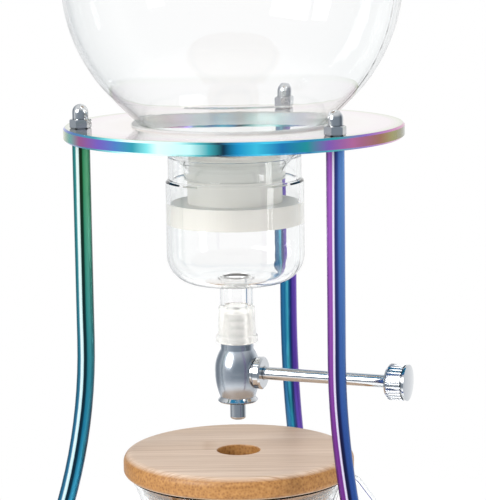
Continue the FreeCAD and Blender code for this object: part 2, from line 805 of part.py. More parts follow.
def inlet_spigot():
    """Ringed spigot on top of the valve body."""
    top = "(plate_height - spigot_top_drop)"
    count = round(size("spigot_rings"))
    step = f"(({top} - {VALVE_TOP}) / (2 * spigot_rings))"
    outline = [("water_bore_radius", VALVE_TOP)]
    for i in range(count):
        base = f"{VALVE_TOP} + {2 * i} * {step}"
        outline += [
            ("spigot_radius - spigot_groove", base),
            ("spigot_radius - spigot_groove", f"{base} + {step}"),
            ("spigot_radius", f"{base} + {step}"),
            ("spigot_radius", f"{base} + 2 * {step}"),
        ]
    outline.append(("water_bore_radius", top))
    keep(turned("InletSpigot", outline), "inlet_spigot")


def socket_bore(drop):
    """Inner radius of the ground socket at a drop."""
    return (
        f"(outlet_bore_radius + (socket_bore_radius - outlet_bore_radius)"
        f" * ({drop} - socket_top_drop) / (socket_end_drop - socket_top_drop))"
    )


def joint_sleeve():
    """Tapered silicone sleeve between the spigot and the ground socket."""
    top = "spigot_top_drop"
    body = turned(
        "JointSleeve",
        [
            ("spigot_radius", SOCKET_END),
            (f"{socket_bore('socket_end_drop')} - sleeve_gap", SOCKET_END),
            (f"{socket_bore(top)} - sleeve_gap", f"plate_height - {top}"),
            ("spigot_radius", f"plate_height - {top}"),
        ],
    )
    keep(body, "joint_sleeve")


def drip_nozzle():
    """Flanged nozzle under the valve body, with a rounded tip and a fine bore."""
    flange = f"({VALVE_WAIST} - nozzle_flange_thick)"
    edge = "(nozzle_flange_thick / 5)"
    end = "(plate_height - nozzle_end_drop)"
    body = turned(
        "DripNozzle",
        [
            ("drip_bore_radius", end),
            ("nozzle_radius - nozzle_round", end, "nozzle_round", 1),
            ("nozzle_radius", f"{end} + nozzle_round"),
            ("nozzle_radius", flange),
            (f"nozzle_flange_radius - {edge}", flange),
            ("nozzle_flange_radius", f"{flange} + {edge}"),
            ("nozzle_flange_radius", f"{flange} + 2 * {edge}"),
            ("valve_waist_radius", VALVE_WAIST),
            ("drip_bore_radius", VALVE_WAIST),
        ],
    )
    keep(body, "drip_nozzle")


# Tap: plug, stem and knob that turn together
def tap_plug():
    """Plug with a cross hole that opens or shuts the water way."""
    body = turned(
        "TapPlug",
        [
            ("0", "0"),
            ("plug_radius", "0"),
            ("plug_radius", "2 * plug_half_length"),
            ("stem_spigot_radius", "2 * plug_half_length"),
            ("stem_spigot_radius", "2 * plug_half_length - stem_spigot_length"),
            ("0", "2 * plug_half_length - stem_spigot_length"),
        ],
    )
    reach = 2 * size("plug_radius")
    spot = FreeCAD.Vector(-reach, 0, size("plug_half_length"))
    lengthwise = FreeCAD.Placement(spot, FreeCAD.Rotation(ACROSS, 90))
    round_hole(body, "PortHole", "water_bore_radius", "4 * plug_radius", lengthwise)
    body.Placement = along_stem("-plug_half_length")
    keep(body, "tap_plug")


def tap_stem():
    """Stem from the plug to the knob."""
    start = "(plug_half_length - stem_spigot_length)"
    end = f"(knob_start + knob_length - knob_web - {start})"
    body = turned(
        "TapStem",
        [
            ("0", "0"),
            ("stem_spigot_radius", "0"),
            ("stem_spigot_radius", "stem_spigot_length"),
            ("stem_radius", "stem_spigot_length"),
            ("stem_radius", end),
            ("0", end),
        ],
    )
    body.Placement = along_stem(start)
    keep(body, "tap_stem")


def knob():
    """Fluted knob with a chamfered inner end, a groove and a crowned face."""
    rim_low = "(knob_length - knob_rim)"
    groove_low = f"({rim_low} - knob_groove_width)"
    floor = "knob_radius - knob_groove_depth"
    crown = "((knob_radius^2 + knob_dome^2) / (2 * knob_dome))"
    body = turned(
        "Knob",
        [
            ("stem_radius", "0"),
            ("knob_radius - knob_chamfer", "0"),
            ("knob_radius", "knob_chamfer"),
            ("knob_radius", groove_low),
            (floor, groove_low),
            (floor, rim_low),
            ("knob_radius", rim_low),
            ("knob_radius", "knob_length - knob_dome", crown, 1),
            ("0", "knob_length"),
            ("0", "knob_length - knob_web"),
            ("stem_radius", "knob_length - knob_web"),
        ],
    )
    spot = FreeCAD.Vector(size("knob_radius"), 0, -1)
    flute = round_hole(
        body, "Flute", "flute_radius", f"{groove_low} + 1",
        FreeCAD.Placement(spot, FreeCAD.Rotation()),
    )
    ring_of(body, flute, round(size("flute_count")))
    middle = size("(knob_chamfer + knob_length - knob_rim - knob_groove_width) / 2")
    turn_down = FreeCAD.Rotation(ACROSS, 90)
    screw_hole = FreeCAD.Placement(FreeCAD.Vector(0, 0, middle), turn_down)
    round_hole(body, "ScrewHole", "screw_radius", "knob_radius + 1", screw_hole)
    body.Placement = along_stem("knob_start")
    keep(body, "knob")
    screw = doc.addObject("Part::Cylinder", "SetScrew")
    screw.setExpression("Radius", bound("screw_radius"))
    screw.setExpression("Height", bound("knob_radius - 2 * flute_radius - stem_radius"))
    place = along_stem("knob_start").multiply(
        FreeCAD.Placement(FreeCAD.Vector(0, 0, middle), turn_down)
    )
    place = place.multiply(
        FreeCAD.Placement(FreeCAD.Vector(0, 0, size("stem_radius")), FreeCAD.Rotation())
    )
    screw.Placement = place
    keep(screw, "set_screw")


# Server: jar, handle and filter, under a wooden lid
def jar_skin(offset):
    """Corners of one face of the server's wall, offset inwards, from the rim down."""
    waist, sweep = size("waist_radius"), size("waist_sweep")
    bulb, ball = size("bulb_radius"), size("bulb_sweep")
    high = size(WAIST_HEIGHT)
    hub = waist + sweep
    axis = bulb - ball
    # The bulb lies as far below the waist as the two curves need to touch
    rise = math.sqrt((sweep + ball) ** 2 - (hub - axis) ** 2)
    low = high - rise
    corner = size("base_corner")
    # The base corner rolls inside the ball: centre one corner radius above the floor
    roll_height = corner
    roll_reach = axis + math.sqrt((ball - corner) ** 2 - (low - roll_height) ** 2)
    neck_turn, ball_turn = sweep + offset, ball - offset
    span = math.hypot(hub - axis, rise)
    roll_turn = corner - offset
    rim = size("jar_height") - size("jar_wall") / 2
    rim_reach = hub - math.sqrt(neck_turn**2 - (rim - high) ** 2)
    to_roll = ball - corner
    return {
        "rim": (rim_reach, rim),
        "waist": (hub - neck_turn, high),
        "join": (
            axis + (hub - axis) * ball_turn / span,
            low + rise * ball_turn / span,
        ),
        "bulb": (axis + ball_turn, low),
        "corner": (
            axis + (roll_reach - axis) * ball_turn / to_roll,
            low + (roll_height - low) * ball_turn / to_roll,
        ),
        "base": (roll_reach, roll_height - roll_turn),
        "hub": (hub, high),
        "centre": (axis, low),
        "roll": (roll_reach, roll_height),
    }


def follow_skin(path, skin, upwards):
    """Run along one face of the server's wall between base and rim."""
    route = [
        ("rim", None), ("waist", "hub"), ("join", "hub"), ("bulb", "centre"),
        ("corner", "centre"), ("base", "roll"),
    ]
    if upwards:
        names = [name for name, _ in reversed(route)]
        abouts = [about for _, about in reversed(route)][:-1]
        for name, about in zip(names[1:], abouts):
            path.arc(*skin[name], *skin[about])
        return
    for name, about in route[1:]:
        path.arc(*skin[name], *skin[about])


def server_jar():
    """Glass server: flared mouth, waist and bulb on a flat base."""
    outer, inner = jar_skin(0), jar_skin(size("jar_wall"))
    path = Outline(0, 0)
    path.line(*outer["base"])
    follow_skin(path, outer, upwards=True)
    high = size("jar_height")
    rim_middle = (outer["rim"][0] + inner["rim"][0]) / 2
    path.line(outer["rim"][0] - size("jar_wall") / 4, high)
    path.line(2 * rim_middle - path.at.x, high)
    path.line(*inner["rim"])
    follow_skin(path, inner, upwards=False)
    path.line(0, inner["base"][1])
    keep(fixed_shape("ServerJar", path.revolve()), "server_jar")


def bent_rod(points, bends, radius):
    """A round rod through points in the XZ plane, each middle point a tangent bend."""
    path = Outline(*points[0])
    for before, point, after, bend in zip(points, points[1:], points[2:], bends):
        here = FreeCAD.Vector(point[0], 0, point[1])
        back = FreeCAD.Vector(before[0], 0, before[1]) - here
        on = FreeCAD.Vector(after[0], 0, after[1]) - here
        half = back.getAngle(on) / 2
        back.normalize()
        on.normalize()
        start = here + back * (bend / math.tan(half))
        end = here + on * (bend / math.tan(half))
        centre = here + (back + on).normalize() * (bend / math.sin(half))
        path.line(start.x, start.z)
        path.arc(end.x, end.z, centre.x, centre.z)
    path.line(*points[-1])
    spine = Part.Wire(path.edges)
    first = path.edges[0]
    way = first.tangentAt(first.FirstParameter)
    section = Part.Wire(Part.Circle(path.first, way, radius).toShape())
    return spine.makePipeShell([section], True, True)


def server_handle():
    """Glass ear fused to the server's neck and bulb, on the pull-out side."""
    top = size("jar_height - handle_top_drop")
    rod = bent_rod(
        [
            (size("waist_radius") - size("jar_wall"), top),
            (size("handle_top_reach"), top),
            (size("handle_low_reach"), size("jar_height - handle_low_drop")),
            (size("waist_radius"), size("jar_height - handle_end_drop")),
        ],
        [size("handle_top_bend"), size("handle_low_bend")],
        size("handle_rod_radius"),
    )
    outer = jar_skin(0)
    path = Outline(0, 0)
    path.line(*outer["base"])
    follow_skin(path, outer, upwards=True)
    path.line(outer["rim"][0], size(LID_TOP))
    path.line(0, size(LID_TOP))
    handle = fixed_shape("ServerHandle", rod.cut(path.revolve()))
    handle.Placement = turn_to(pull_bearing())
    keep(handle, "server_handle")


def pull_bearing():
    """The server comes out halfway between the back and the right leg."""
    return size("leg_bearing") - 60


def coffee_filter():
    """Mesh basket for the coffee, welded to a rim that rests in the server's waist."""
    seat = jar_bore(FILTER_HEIGHT)
    inner = f"({seat} - filter_rim_width)"
    bottom = f"({inner} - filter_taper)"
    rim_top = f"({FILTER_HEIGHT} + filter_rim_thick)"
    ring(
        "FilterRim",
        "filter_rim",
        inner,
        seat,
        FILTER_HEIGHT,
        "filter_rim_thick",
    )
    body = turned(
        "CoffeeFilter",
        [
            ("0", "filter_bottom_height"),
            (bottom, "filter_bottom_height"),
            (inner, FILTER_HEIGHT),
            (inner, rim_top),
            (f"{inner} - filter_wall", rim_top),
            (f"{inner} - filter_wall", FILTER_HEIGHT),
            (f"{bottom} - filter_wall", "filter_bottom_height + filter_wall"),
            ("0", "filter_bottom_height + filter_wall"),
        ],
    )
    keep(body, "coffee_filter")


def server_lid():
    """Wooden lid with the drip hole, and the silicone ring on its plug."""
    body = turned(
        "ServerLid",
        lid_outline(
            "drip_hole_radius", "lid_radius", "jar_height",
            "lid_plug_radius", "lid_plug_depth", SEAL_HEIGHT,
        ),
    )
    keep(body, "server_lid")
    ring(
        "ServerLidSeal",
        "server_lid_seal",
        "lid_plug_radius - seal_groove",
        f"{jar_bore(SEAL_HEIGHT)} - seal_gap",
        SEAL_HEIGHT,
        "seal_thick",
    )


top_plate()
for side in BEARINGS:
    leg(side)
cap_nuts()
foot_caps()
seat_ring()
globe()
neck_bung()
drip_cup()
reservoir_lid()
valve_body()
packing_nut()
inlet_spigot()
joint_sleeve()
drip_nozzle()
tap_plug()
tap_stem()
knob()
server_jar()
server_handle()
coffee_filter()
server_lid()
doc.recompute()

for thing in doc.Objects:
    if "Invalid" in thing.State or "Error" in thing.State:
        raise RuntimeError(f"{thing.Name} failed: {thing.State}")
for node in NODES:
    if node.Shape.isNull() or not node.Shape.isValid():
        raise RuntimeError(f"{node.Label} has no valid shape")

os.makedirs("parts", exist_ok=True)
for node in NODES:
    node.Shape.exportStep(f"parts/{node.Label}.step")
    box = node.Shape.BoundBox
    print(
        f"{node.Label:20s} solids {len(node.Shape.Solids)} volume {node.Shape.Volume:10.1f}"
        f" x {box.XMin:7.1f} {box.XMax:7.1f} y {box.YMin:7.1f} {box.YMax:7.1f}"
        f" z {box.ZMin:7.1f} {box.ZMax:7.1f}"
    )
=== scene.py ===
import math

import bmesh
import bpy
from mathutils import Matrix, Vector


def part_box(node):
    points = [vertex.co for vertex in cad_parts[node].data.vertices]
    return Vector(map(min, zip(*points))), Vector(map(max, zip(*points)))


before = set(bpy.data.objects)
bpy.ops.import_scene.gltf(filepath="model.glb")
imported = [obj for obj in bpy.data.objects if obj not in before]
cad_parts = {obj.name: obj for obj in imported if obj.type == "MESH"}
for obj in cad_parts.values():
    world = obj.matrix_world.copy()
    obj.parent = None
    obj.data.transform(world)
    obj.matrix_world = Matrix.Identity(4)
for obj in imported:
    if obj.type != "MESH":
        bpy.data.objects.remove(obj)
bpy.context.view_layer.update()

bl_info = {
    "name": "Cold drip coffee tower",
    "version": (1, 0, 0),
    "blender": (4, 5, 0),
    "location": "View3D > Sidebar > Drip Tower",
    "description": "Dresses the cold drip tower: coated stand, glass, chrome tap and bamboo lids",
    "category": "Object",
}

MM = 0.001

# The photograph's camera, worked out from the ellipses of plate and lid
CAMERA_BEARING = 21.4
CAMERA_REACH = 1.195
CAMERA_HEIGHT = 0.4536
CAMERA_PITCH = 9.19
CAMERA_PAN = 0.185
CAMERA_ROLL = -0.8
CAMERA_LENS = 163.7
# Level directions of that camera: to its right, and from the tower back to it
LOOK_RIGHT = Vector((math.cos(math.radians(CAMERA_BEARING)),
                     math.sin(math.radians(CAMERA_BEARING)), 0))
LOOK_BACK = Vector((LOOK_RIGHT.y, -LOOK_RIGHT.x, 0))

# Soft lamps: name, degrees round from the camera, height, reach, width and length in metres,
# and the setting that holds the power
LAMPS = (
    ("soft_key", -48, 0.62, 0.95, 0.5, 0.6, "key_power"),
    ("soft_side", 62, 0.35, 1.0, 0.22, 0.8, "rim_power"),
)
LAMPS_AIM = Vector((0, 0, 0.25))
# The floor starts to fade out here, in metres
FLOOR_SOLID = 0.18

# Sizes of the finishes in millimetres, and the reach of the chrome's painted corner shade
HUE_CHANGE_DROPS = (150.0, 20.0)
TOP_HUE_REACH = (50.0, 90.0)
# How far the chrome's painted shade reaches into flutes and corners
PAINTED_SHADE_REACH = 1.6
GROUND_OVER_SLEEVE = 4.0
GROUND_FADE = 0.5
MESH_PITCH = 2.0
STRIP_WIDTH = 19.0
KNUCKLE_STEP = 210.0
# Edge of a hole in the mesh, from inside to outside, as shares of the pitch
MESH_HOLE = (0.36, 0.42)
# Steps of the bamboo's fibres and streaks per millimetre: along, across and through the board
FIBRE_SCALES = (0.012, 1 / 0.55, 0.4)
STREAK_SCALES = (0.006, 0.09, 0.05)


def linear(hex_colour):
    """An sRGB hex colour as linear red, green, blue and alpha."""
    parts = [int(hex_colour[i:i + 2], 16) / 255 for i in (1, 3, 5)]
    straight = [c / 12.92 if c <= 0.04045 else ((c + 0.055) / 1.055) ** 2.4 for c in parts]
    return (*straight, 1.0)


def add(tree, kind, inputs=None, **settings):
    """Add one node with its settings, and give each named input a value or a link."""
    node = tree.nodes.new("ShaderNode" + kind)
    for name, value in settings.items():
        setattr(node, name, value)
    for name, value in (inputs or {}).items():
        if isinstance(value, bpy.types.NodeSocket):
            tree.links.new(value, node.inputs[name])
        else:
            node.inputs[name].default_value = value
    return node


def start_material(name, **values):
    """A material with one shader, whose constant values sit on its own sockets."""
    made = bpy.data.materials.new(name)
    made.use_nodes = True
    tree = made.node_tree
    tree.nodes.clear()
    shader = add(tree, "BsdfPrincipled")
    for socket, value in values.items():
        shader.inputs[socket.replace("_", " ")].default_value = value
    out = add(tree, "OutputMaterial")
    tree.links.new(shader.outputs[0], out.inputs["Surface"])
    return made, tree, shader


def show(tree, surface):
    """Send a shader to the material's output in place of its first one."""
    out = next(n for n in tree.nodes if n.type == "OUTPUT_MATERIAL")
    tree.links.new(surface, out.inputs["Surface"])


def millimetres(tree):
    """The piece's own coordinates in millimetres."""
    place = add(tree, "TexCoord")
    return add(tree, "VectorMath", {0: place.outputs["Object"], "Scale": 1 / MM},
               operation="SCALE").outputs[0]


def stretched(tree, place, scales):
    """A place with its own scale along each axis."""
    return add(tree, "VectorMath", {0: place, 1: scales}, operation="MULTIPLY").outputs[0]


def reckon(tree, operation, *values):
    """One step of arithmetic on values or links."""
    return add(tree, "Math", dict(enumerate(values)), operation=operation).outputs[0]


def rescale(tree, value, low=0.0, high=1.0, to_low=0.0, to_high=1.0, **settings):
    """A value carried from one range to another, and held inside it."""
    return add(tree, "MapRange", {
        "Value": value, "From Min": low, "From Max": high,
        "To Min": to_low, "To Max": to_high}, **settings).outputs["Result"]


def noise(tree, place, scale, detail=2.0, roughness=0.5):
    """Cloudy noise from 0 to 1."""
    return add(tree, "TexNoise", {
        "Vector": place, "Scale": scale, "Detail": detail, "Roughness": roughness,
    }).outputs["Fac"]


def ramp(tree, factor, stops):
    """A colour ramp through (place, hex colour) stops."""
    node = add(tree, "ValToRGB", {"Fac": factor})
    points = node.color_ramp.elements
    while len(points) < len(stops):
        points.new(1.0)
    for point, (place, colour) in zip(points, stops):
        point.position = place
        point.color = linear(colour)
    return node.outputs["Color"]


def mix(tree, factor, first, second, blend="MIX"):
    """Two colours mixed by a factor."""
    node = add(tree, "Mix", {"Factor": factor, 6: first, 7: second},
               data_type="RGBA", blend_type=blend)
    return node.outputs[2]


def bump(tree, shader, height, distance_mm, strength=1.0):
    """Relief of a real depth under the shader."""
    node = add(tree, "Bump", {"Height": height, "Distance": distance_mm * MM,
                              "Strength": strength})
    tree.links.new(node.outputs["Normal"], shader.inputs["Normal"])


def facing(tree, direction):
    """How far the surface faces a level direction, from -1 away from it to 1 towards it."""
    normal = add(tree, "TexCoord").outputs["Normal"]
    return add(tree, "VectorMath", {0: normal, 1: tuple(direction)},
               operation="DOT_PRODUCT").outputs["Value"]


def dress(finish, *nodes):
    """Give frame nodes one material."""
    for name in nodes:
        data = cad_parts[name].data
        data.materials.clear()
        data.materials.append(finish)


# Hues of the rainbow coat round each leg, from the photograph's left to its right, with a painted
# highlight (the palest stops) and a painted dark reflection (the darkest stops): just under the
# plate, and lower down
LEG_HUES_AND_PAINTED_SHINE = {
    "leg_left": (
        [(0.0, "#0f5a5c"), (0.2, "#1e7f7e"), (0.27, "#f2fffa"), (0.37, "#e4faf0"),
         (0.42, "#06240c"), (0.56, "#0b3312"), (0.63, "#3f9a66"), (0.8, "#6cc08c"),
         (0.93, "#3a8f66"), (1.0, "#12483a")],
        [(0.0, "#0c4258"), (0.2, "#16668b"), (0.27, "#ecffff"), (0.37, "#d2f6fc"),
         (0.42, "#00202e"), (0.56, "#003045"), (0.63, "#1a7a9c"), (0.8, "#2a93b5"),
         (0.93, "#155a7c"), (1.0, "#0a2e44")],
    ),
    "leg_right": (
        [(0.0, "#6a3488"), (0.12, "#9a55b4"), (0.28, "#a65cbc"), (0.33, "#fbf6ff"),
         (0.38, "#efe8ff"), (0.43, "#2a2f6a"), (0.56, "#33448a"), (0.66, "#4f7cc2"),
         (0.88, "#6a9ad8"), (1.0, "#34589c")],
        [(0.0, "#471a62"), (0.12, "#692a82"), (0.28, "#78308f"), (0.33, "#f4ecff"),
         (0.38, "#e9defa"), (0.43, "#0f1034"), (0.57, "#161d4c"), (0.66, "#2f4f98"),
         (0.88, "#3c62ae"), (1.0, "#1a2a58")],
    ),
    "leg_back": (
        [(0.0, "#0f5f93"), (0.25, "#1b7db0"), (0.42, "#63cfe2"), (0.5, "#1473a2"),
         (0.6, "#1c2f80"), (0.72, "#6a4cc0"), (0.9, "#8a63d0"), (1.0, "#5a3a9c")],
        [(0.0, "#0b4a76"), (0.25, "#126b98"), (0.4, "#35a3c2"), (0.5, "#0b4d7c"),
         (0.6, "#121d5c"), (0.72, "#5239a2"), (0.9, "#6a47b0"), (1.0, "#3f2778")],
    ),
}
# Hues round the plate's rim, from the photograph's left to its right, with a painted highlight
# (the pale cyan stops) and a painted dark reflection (the navy stop)
RIM_HUES_AND_PAINTED_SHINE = [
    (0.0, "#9a935c"), (0.03, "#5fa39a"), (0.06, "#955684"), (0.12, "#6c55b0"),
    (0.17, "#3f6cac"), (0.22, "#2b93a4"), (0.26, "#7fdde0"), (0.29, "#dcfcf9"),
    (0.38, "#c6f5f3"), (0.43, "#3fa7b0"), (0.47, "#06263c"), (0.51, "#1790c2"),
    (0.56, "#3cc0e0"), (0.63, "#1f76b2"), (0.7, "#24969c"), (0.76, "#8861ba"),
    (0.83, "#c476aa"), (0.91, "#a0705a"), (0.95, "#8d874a"), (1.0, "#4b4a2c"),
]
# Hues on the plate's flat top, from its middle to its edge
TOP_COLOURS = [
    (0.0, "#efe6df"), (0.5, "#f6efee"), (0.8, "#f3e4ea"), (0.93, "#d8dcc8"), (1.0, "#a9b58c"),
]


def coat_leg(name, upper, lower):
    """Stainless tube, polished, with a vapour-deposited coat whose hue turns round it, and a
    painted highlight and painted dark reflection in that hue.
    """
    made, tree, shader = start_material("pvd_rainbow_steel_polished_" + name, Metallic=0.5)
    place = millimetres(tree)
    # The hues wander a little along the tube
    drift = rescale(tree, noise(tree, place, 0.012, 1.0), 0.3, 0.7, -0.03, 0.03)
    # Which way the surface faces sets the hue, and with it where the painted highlight and dark
    # reflection stand
    side = rescale(tree, facing(tree, LOOK_RIGHT), -1.0, 1.0)
    across = reckon(tree, "ADD", side, drift)
    height = add(tree, "SeparateXYZ", {"Vector": place}).outputs["Z"]
    under_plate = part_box("top_plate")[0][2] / MM
    level = rescale(tree, height, *(under_plate - drop for drop in HUE_CHANGE_DROPS))
    colour = mix(tree, level, ramp(tree, across, lower), ramp(tree, across, upper))
    tree.links.new(colour, shader.inputs["Base Color"])
    # Drawing lines along the tube, under a tenth of a millimetre, drawn wider to show
    lines = noise(tree, stretched(tree, place, (2.4, 2.4, 0.02)), 1.0)
    tree.links.new(rescale(tree, lines, to_low=0.06, to_high=0.13), shader.inputs["Roughness"])
    return made


def coat_plate():
    """The same coat on the plate: mirror bright on top, with the hues, a painted highlight and a
    painted dark reflection round its rim.
    """
    made, tree, shader = start_material("pvd_rainbow_steel_plate")
    place = millimetres(tree)
    rim = ramp(tree, rescale(tree, facing(tree, LOOK_RIGHT), -1.0, 1.0), RIM_HUES_AND_PAINTED_SHINE)
    reach = add(tree, "VectorMath", {0: stretched(tree, place, (1.0, 1.0, 0.0))},
                operation="LENGTH").outputs["Value"]
    top = ramp(tree, rescale(tree, reach, *TOP_HUE_REACH), TOP_COLOURS)
    flat = rescale(tree, facing(tree, (0, 0, 1)), 0.8, 0.98)
    tree.links.new(mix(tree, flat, rim, top), shader.inputs["Base Color"])
    # The rim shows its hues with their painted highlight and dark reflection, and the flat top
    # mirrors the room
    tree.links.new(rescale(tree, flat, to_low=0.45), shader.inputs["Metallic"])
    smear = noise(tree, place, 0.05, 3.0)
    tree.links.new(rescale(tree, smear, to_low=0.05, to_high=0.14), shader.inputs["Roughness"])
    return made


def bright_chrome():
    """Chrome plate on turned brass, polished: a near mirror, a little clouded by handling."""
    made, tree, shader = start_material("chrome_plate_polished", Metallic=1.0)
    # Painted shade: ambient occlusion darkens the flutes and corners, so they read darker
    painted_corner_shade = add(tree, "AmbientOcclusion", {"Distance": PAINTED_SHADE_REACH * MM}, samples=8)
    hue = ramp(tree, painted_corner_shade.outputs["AO"], [(0.35, "#33363a"), (0.8, "#d9dbdd")])
    tree.links.new(hue, shader.inputs["Base Color"])
    wear = noise(tree, millimetres(tree), 0.6, 4.0)
    tree.links.new(rescale(tree, wear, to_low=0.04, to_high=0.13), shader.inputs["Roughness"])
    return made


def satin_chrome():
    """Chrome plate on cast zinc, softly polished: a cooler, cloudier mirror."""
    made, tree, shader = start_material(
        "chrome_plate_satin", Metallic=1.0, Base_Color=linear("#c4cad1")
    )
    place = millimetres(tree)
    cloud = noise(tree, place, 0.35, 5.0)
    tree.links.new(rescale(tree, cloud, to_low=0.2, to_high=0.28), shader.inputs["Roughness"])
    # The cast skin's orange peel, about a millimetre across
    bump(tree, shader, noise(tree, place, 1.0), 0.012, 0.4)
    return made


def edge_tint(tree, edge_colour):
    """Clear face on, and a little painted grey shade where the wall is seen edge on."""
    edge = add(tree, "LayerWeight", {"Blend": 0.35}).outputs["Facing"]
    return ramp(tree, edge, [(0.0, "#ffffff"), (0.62, "#fbfdfd"), (1.0, edge_colour)])


def pass_light_on(tree, shader):
    """Let light through to what the glass holds, as its thin wall does."""
    rays = add(tree, "LightPath").outputs
    passing = reckon(tree, "MAXIMUM", rays["Is Shadow Ray"], rays["Is Diffuse Ray"])
    clear = add(tree, "BsdfTransparent", {"Color": linear("#f6f8f8")}).outputs[0]
    blend = add(tree, "MixShader", {0: passing, 1: shader.outputs[0], 2: clear})
    show(tree, blend.outputs[0])


def blown_glass():
    """Borosilicate, blown: clear, with faint ripples from the blowing."""
    made, tree, shader = start_material(
        "borosilicate_glass_blown", Roughness=0.0, IOR=1.47, Transmission_Weight=1.0
    )
    tree.links.new(edge_tint(tree, "#a7b0b4"), shader.inputs["Base Color"])
    bump(tree, shader, noise(tree, millimetres(tree), 0.06, 1.0), 0.12, 0.35)
    pass_light_on(tree, shader)
    return made


def ground_glass():
    """The cup's borosilicate, with the socket ground matt so that it seals."""
    made, tree, shader = start_material("borosilicate_glass_with_ground_socket", IOR=1.47)
    place = millimetres(tree)
    height = add(tree, "SeparateXYZ", {"Vector": place}).outputs["Z"]
    ground_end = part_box("joint_sleeve")[1][2] / MM + GROUND_OVER_SLEEVE
    ground = rescale(tree, height, ground_end + GROUND_FADE, ground_end)
    matt = rescale(tree, noise(tree, place, 3.0, 3.0), to_low=0.14, to_high=0.27)
    tree.links.new(reckon(tree, "MULTIPLY", ground, matt), shader.inputs["Roughness"])
    # The ground skin scatters light back, which makes it milky
    through = rescale(tree, ground, to_low=1.0, to_high=0.8)
    tree.links.new(through, shader.inputs["Transmission Weight"])
    hue = mix(tree, ground, edge_tint(tree, "#a3abb0"), linear("#fffdf9"))
    tree.links.new(hue, shader.inputs["Base Color"])
    pass_light_on(tree, shader)
    return made


def silicone(name, colour, through, dull):
    """Silicone rubber, moulded: milky, part clear, with a soft dull sheen."""
    made, tree, shader = start_material(
        name, Base_Color=linear(colour), IOR=1.41, Transmission_Weight=through,
        Subsurface_Weight=0.5, Subsurface_Radius=(0.012, 0.012, 0.012),
    )
    cloud = noise(tree, millimetres(tree), 0.2, 3.0)
    rough = rescale(tree, cloud, to_low=dull, to_high=dull + 0.18)
    tree.links.new(rough, shader.inputs["Roughness"])
    return made


def black_rubber():
    """Moulded rubber: near black, dull, with a fine grain."""
    made, tree, shader = start_material(
        "rubber_moulded_black", Base_Color=linear("#1b1b1c"), Roughness=0.6
    )
    bump(tree, shader, noise(tree, millimetres(tree), 2.0, 3.0), 0.05, 0.6)
    return made


def white_packing():
    """Fluoropolymer, turned: waxy white."""
    made, tree, shader = start_material(
        "fluoropolymer_turned", Base_Color=linear("#efefec"), Roughness=0.4,
        Subsurface_Weight=0.2, Subsurface_Radius=(0.002, 0.002, 0.002),
    )
    bump(tree, shader, noise(tree, millimetres(tree), 1.0), 0.02, 0.4)
    return made


def etched_mesh():
    """Stainless sheet, etched into a fine mesh, then rolled; holes drawn coarser to show."""
    made, tree, shader = start_material("stainless_mesh_etched", Metallic=1.0, Roughness=0.32)
    split = add(tree, "SeparateXYZ", {"Vector": millimetres(tree)}).outputs
    turn = reckon(tree, "ARCTAN2", split["Y"], split["X"])
    around = reckon(tree, "MULTIPLY", turn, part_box("coffee_filter")[1][0] / MM)
    unrolled = add(tree, "CombineXYZ", {"X": around, "Y": split["Z"]}).outputs[0]
    holes = add(tree, "TexVoronoi", {
        "Vector": unrolled, "Scale": 1 / MESH_PITCH, "Randomness": 0.0},
        voronoi_dimensions="2D")
    steel = rescale(tree, holes.outputs["Distance"], *MESH_HOLE)
    tree.links.new(rescale(tree, steel, to_low=0.05), shader.inputs["Alpha"])
    # Painted shade: the holes and their edges are tinted dark grey, faintly where the holes are
    # nearly clear
    hue = mix(tree, steel, linear("#3c3f42"), linear("#b4b8bb"))
    tree.links.new(hue, shader.inputs["Base Color"])
    bump(tree, shader, steel, 0.15, 0.6)
    return made


def strip_faces(tree, board, fibre):
    """The lid's level faces: each strip in its own tone, with its knuckles and glue lines."""
    split = add(tree, "SeparateXYZ", {"Vector": board}).outputs
    along, across = split["X"], split["Y"]
    strip = reckon(tree, "DIVIDE", across, STRIP_WIDTH)
    which = reckon(tree, "FLOOR", strip)
    tone = add(tree, "TexWhiteNoise", {"W": which}, noise_dimensions="1D").outputs["Value"]
    from_middle = reckon(
        tree, "ABSOLUTE", reckon(tree, "SUBTRACT", reckon(tree, "FRACT", strip), 0.5))
    glue = rescale(tree, from_middle, 0.485, 0.5)
    # Each strip has its knuckles at its own places along the grain
    shifted = reckon(tree, "ADD", along, reckon(tree, "MULTIPLY", tone, KNUCKLE_STEP))
    steps = reckon(tree, "DIVIDE", shifted, KNUCKLE_STEP)
    knuckle = ramp(tree, reckon(tree, "FRACT", steps), [
        (0.0, "#ffffff"), (0.485, "#ffffff"), (0.5, "#f0e8e0"), (0.53, "#ffffff")])
    streaks = noise(tree, stretched(tree, board, STREAK_SCALES), 1.0)
    hue = ramp(tree, fibre, [
        (0.25, "#9f8069"), (0.42, "#c2a58d"), (0.56, "#d6bfaa"), (0.8, "#e6d4c3")])
    hue = mix(tree, rescale(tree, tone, to_high=0.55), hue, linear("#bd9f84"))
    hue = mix(tree, rescale(tree, streaks, 0.35, 0.7, to_high=0.3), hue, linear("#a98a6e"))
    hue = mix(tree, 0.8, hue, mix(tree, 1.0, hue, knuckle, "MULTIPLY"))
    return mix(tree, reckon(tree, "MULTIPLY", glue, 0.55), hue, linear("#8a6238"))


def turned_edge(tree, board, fibre):
    """The lid's turned edge: it cuts through the fibres, so it is browner and dotted."""
    dots = add(tree, "TexVoronoi", {"Vector": board, "Scale": 0.7}).outputs["Distance"]
    dotted = ramp(tree, dots, [
        (0.12, "#65401e"), (0.27, "#8a5c2b"), (0.5, "#a07038"), (1.0, "#ba8b50")])
    streaked = ramp(tree, fibre, [(0.25, "#7d5229"), (0.5, "#a2713d"), (0.75, "#c1915a")])
    return mix(tree, 0.45, dotted, streaked)


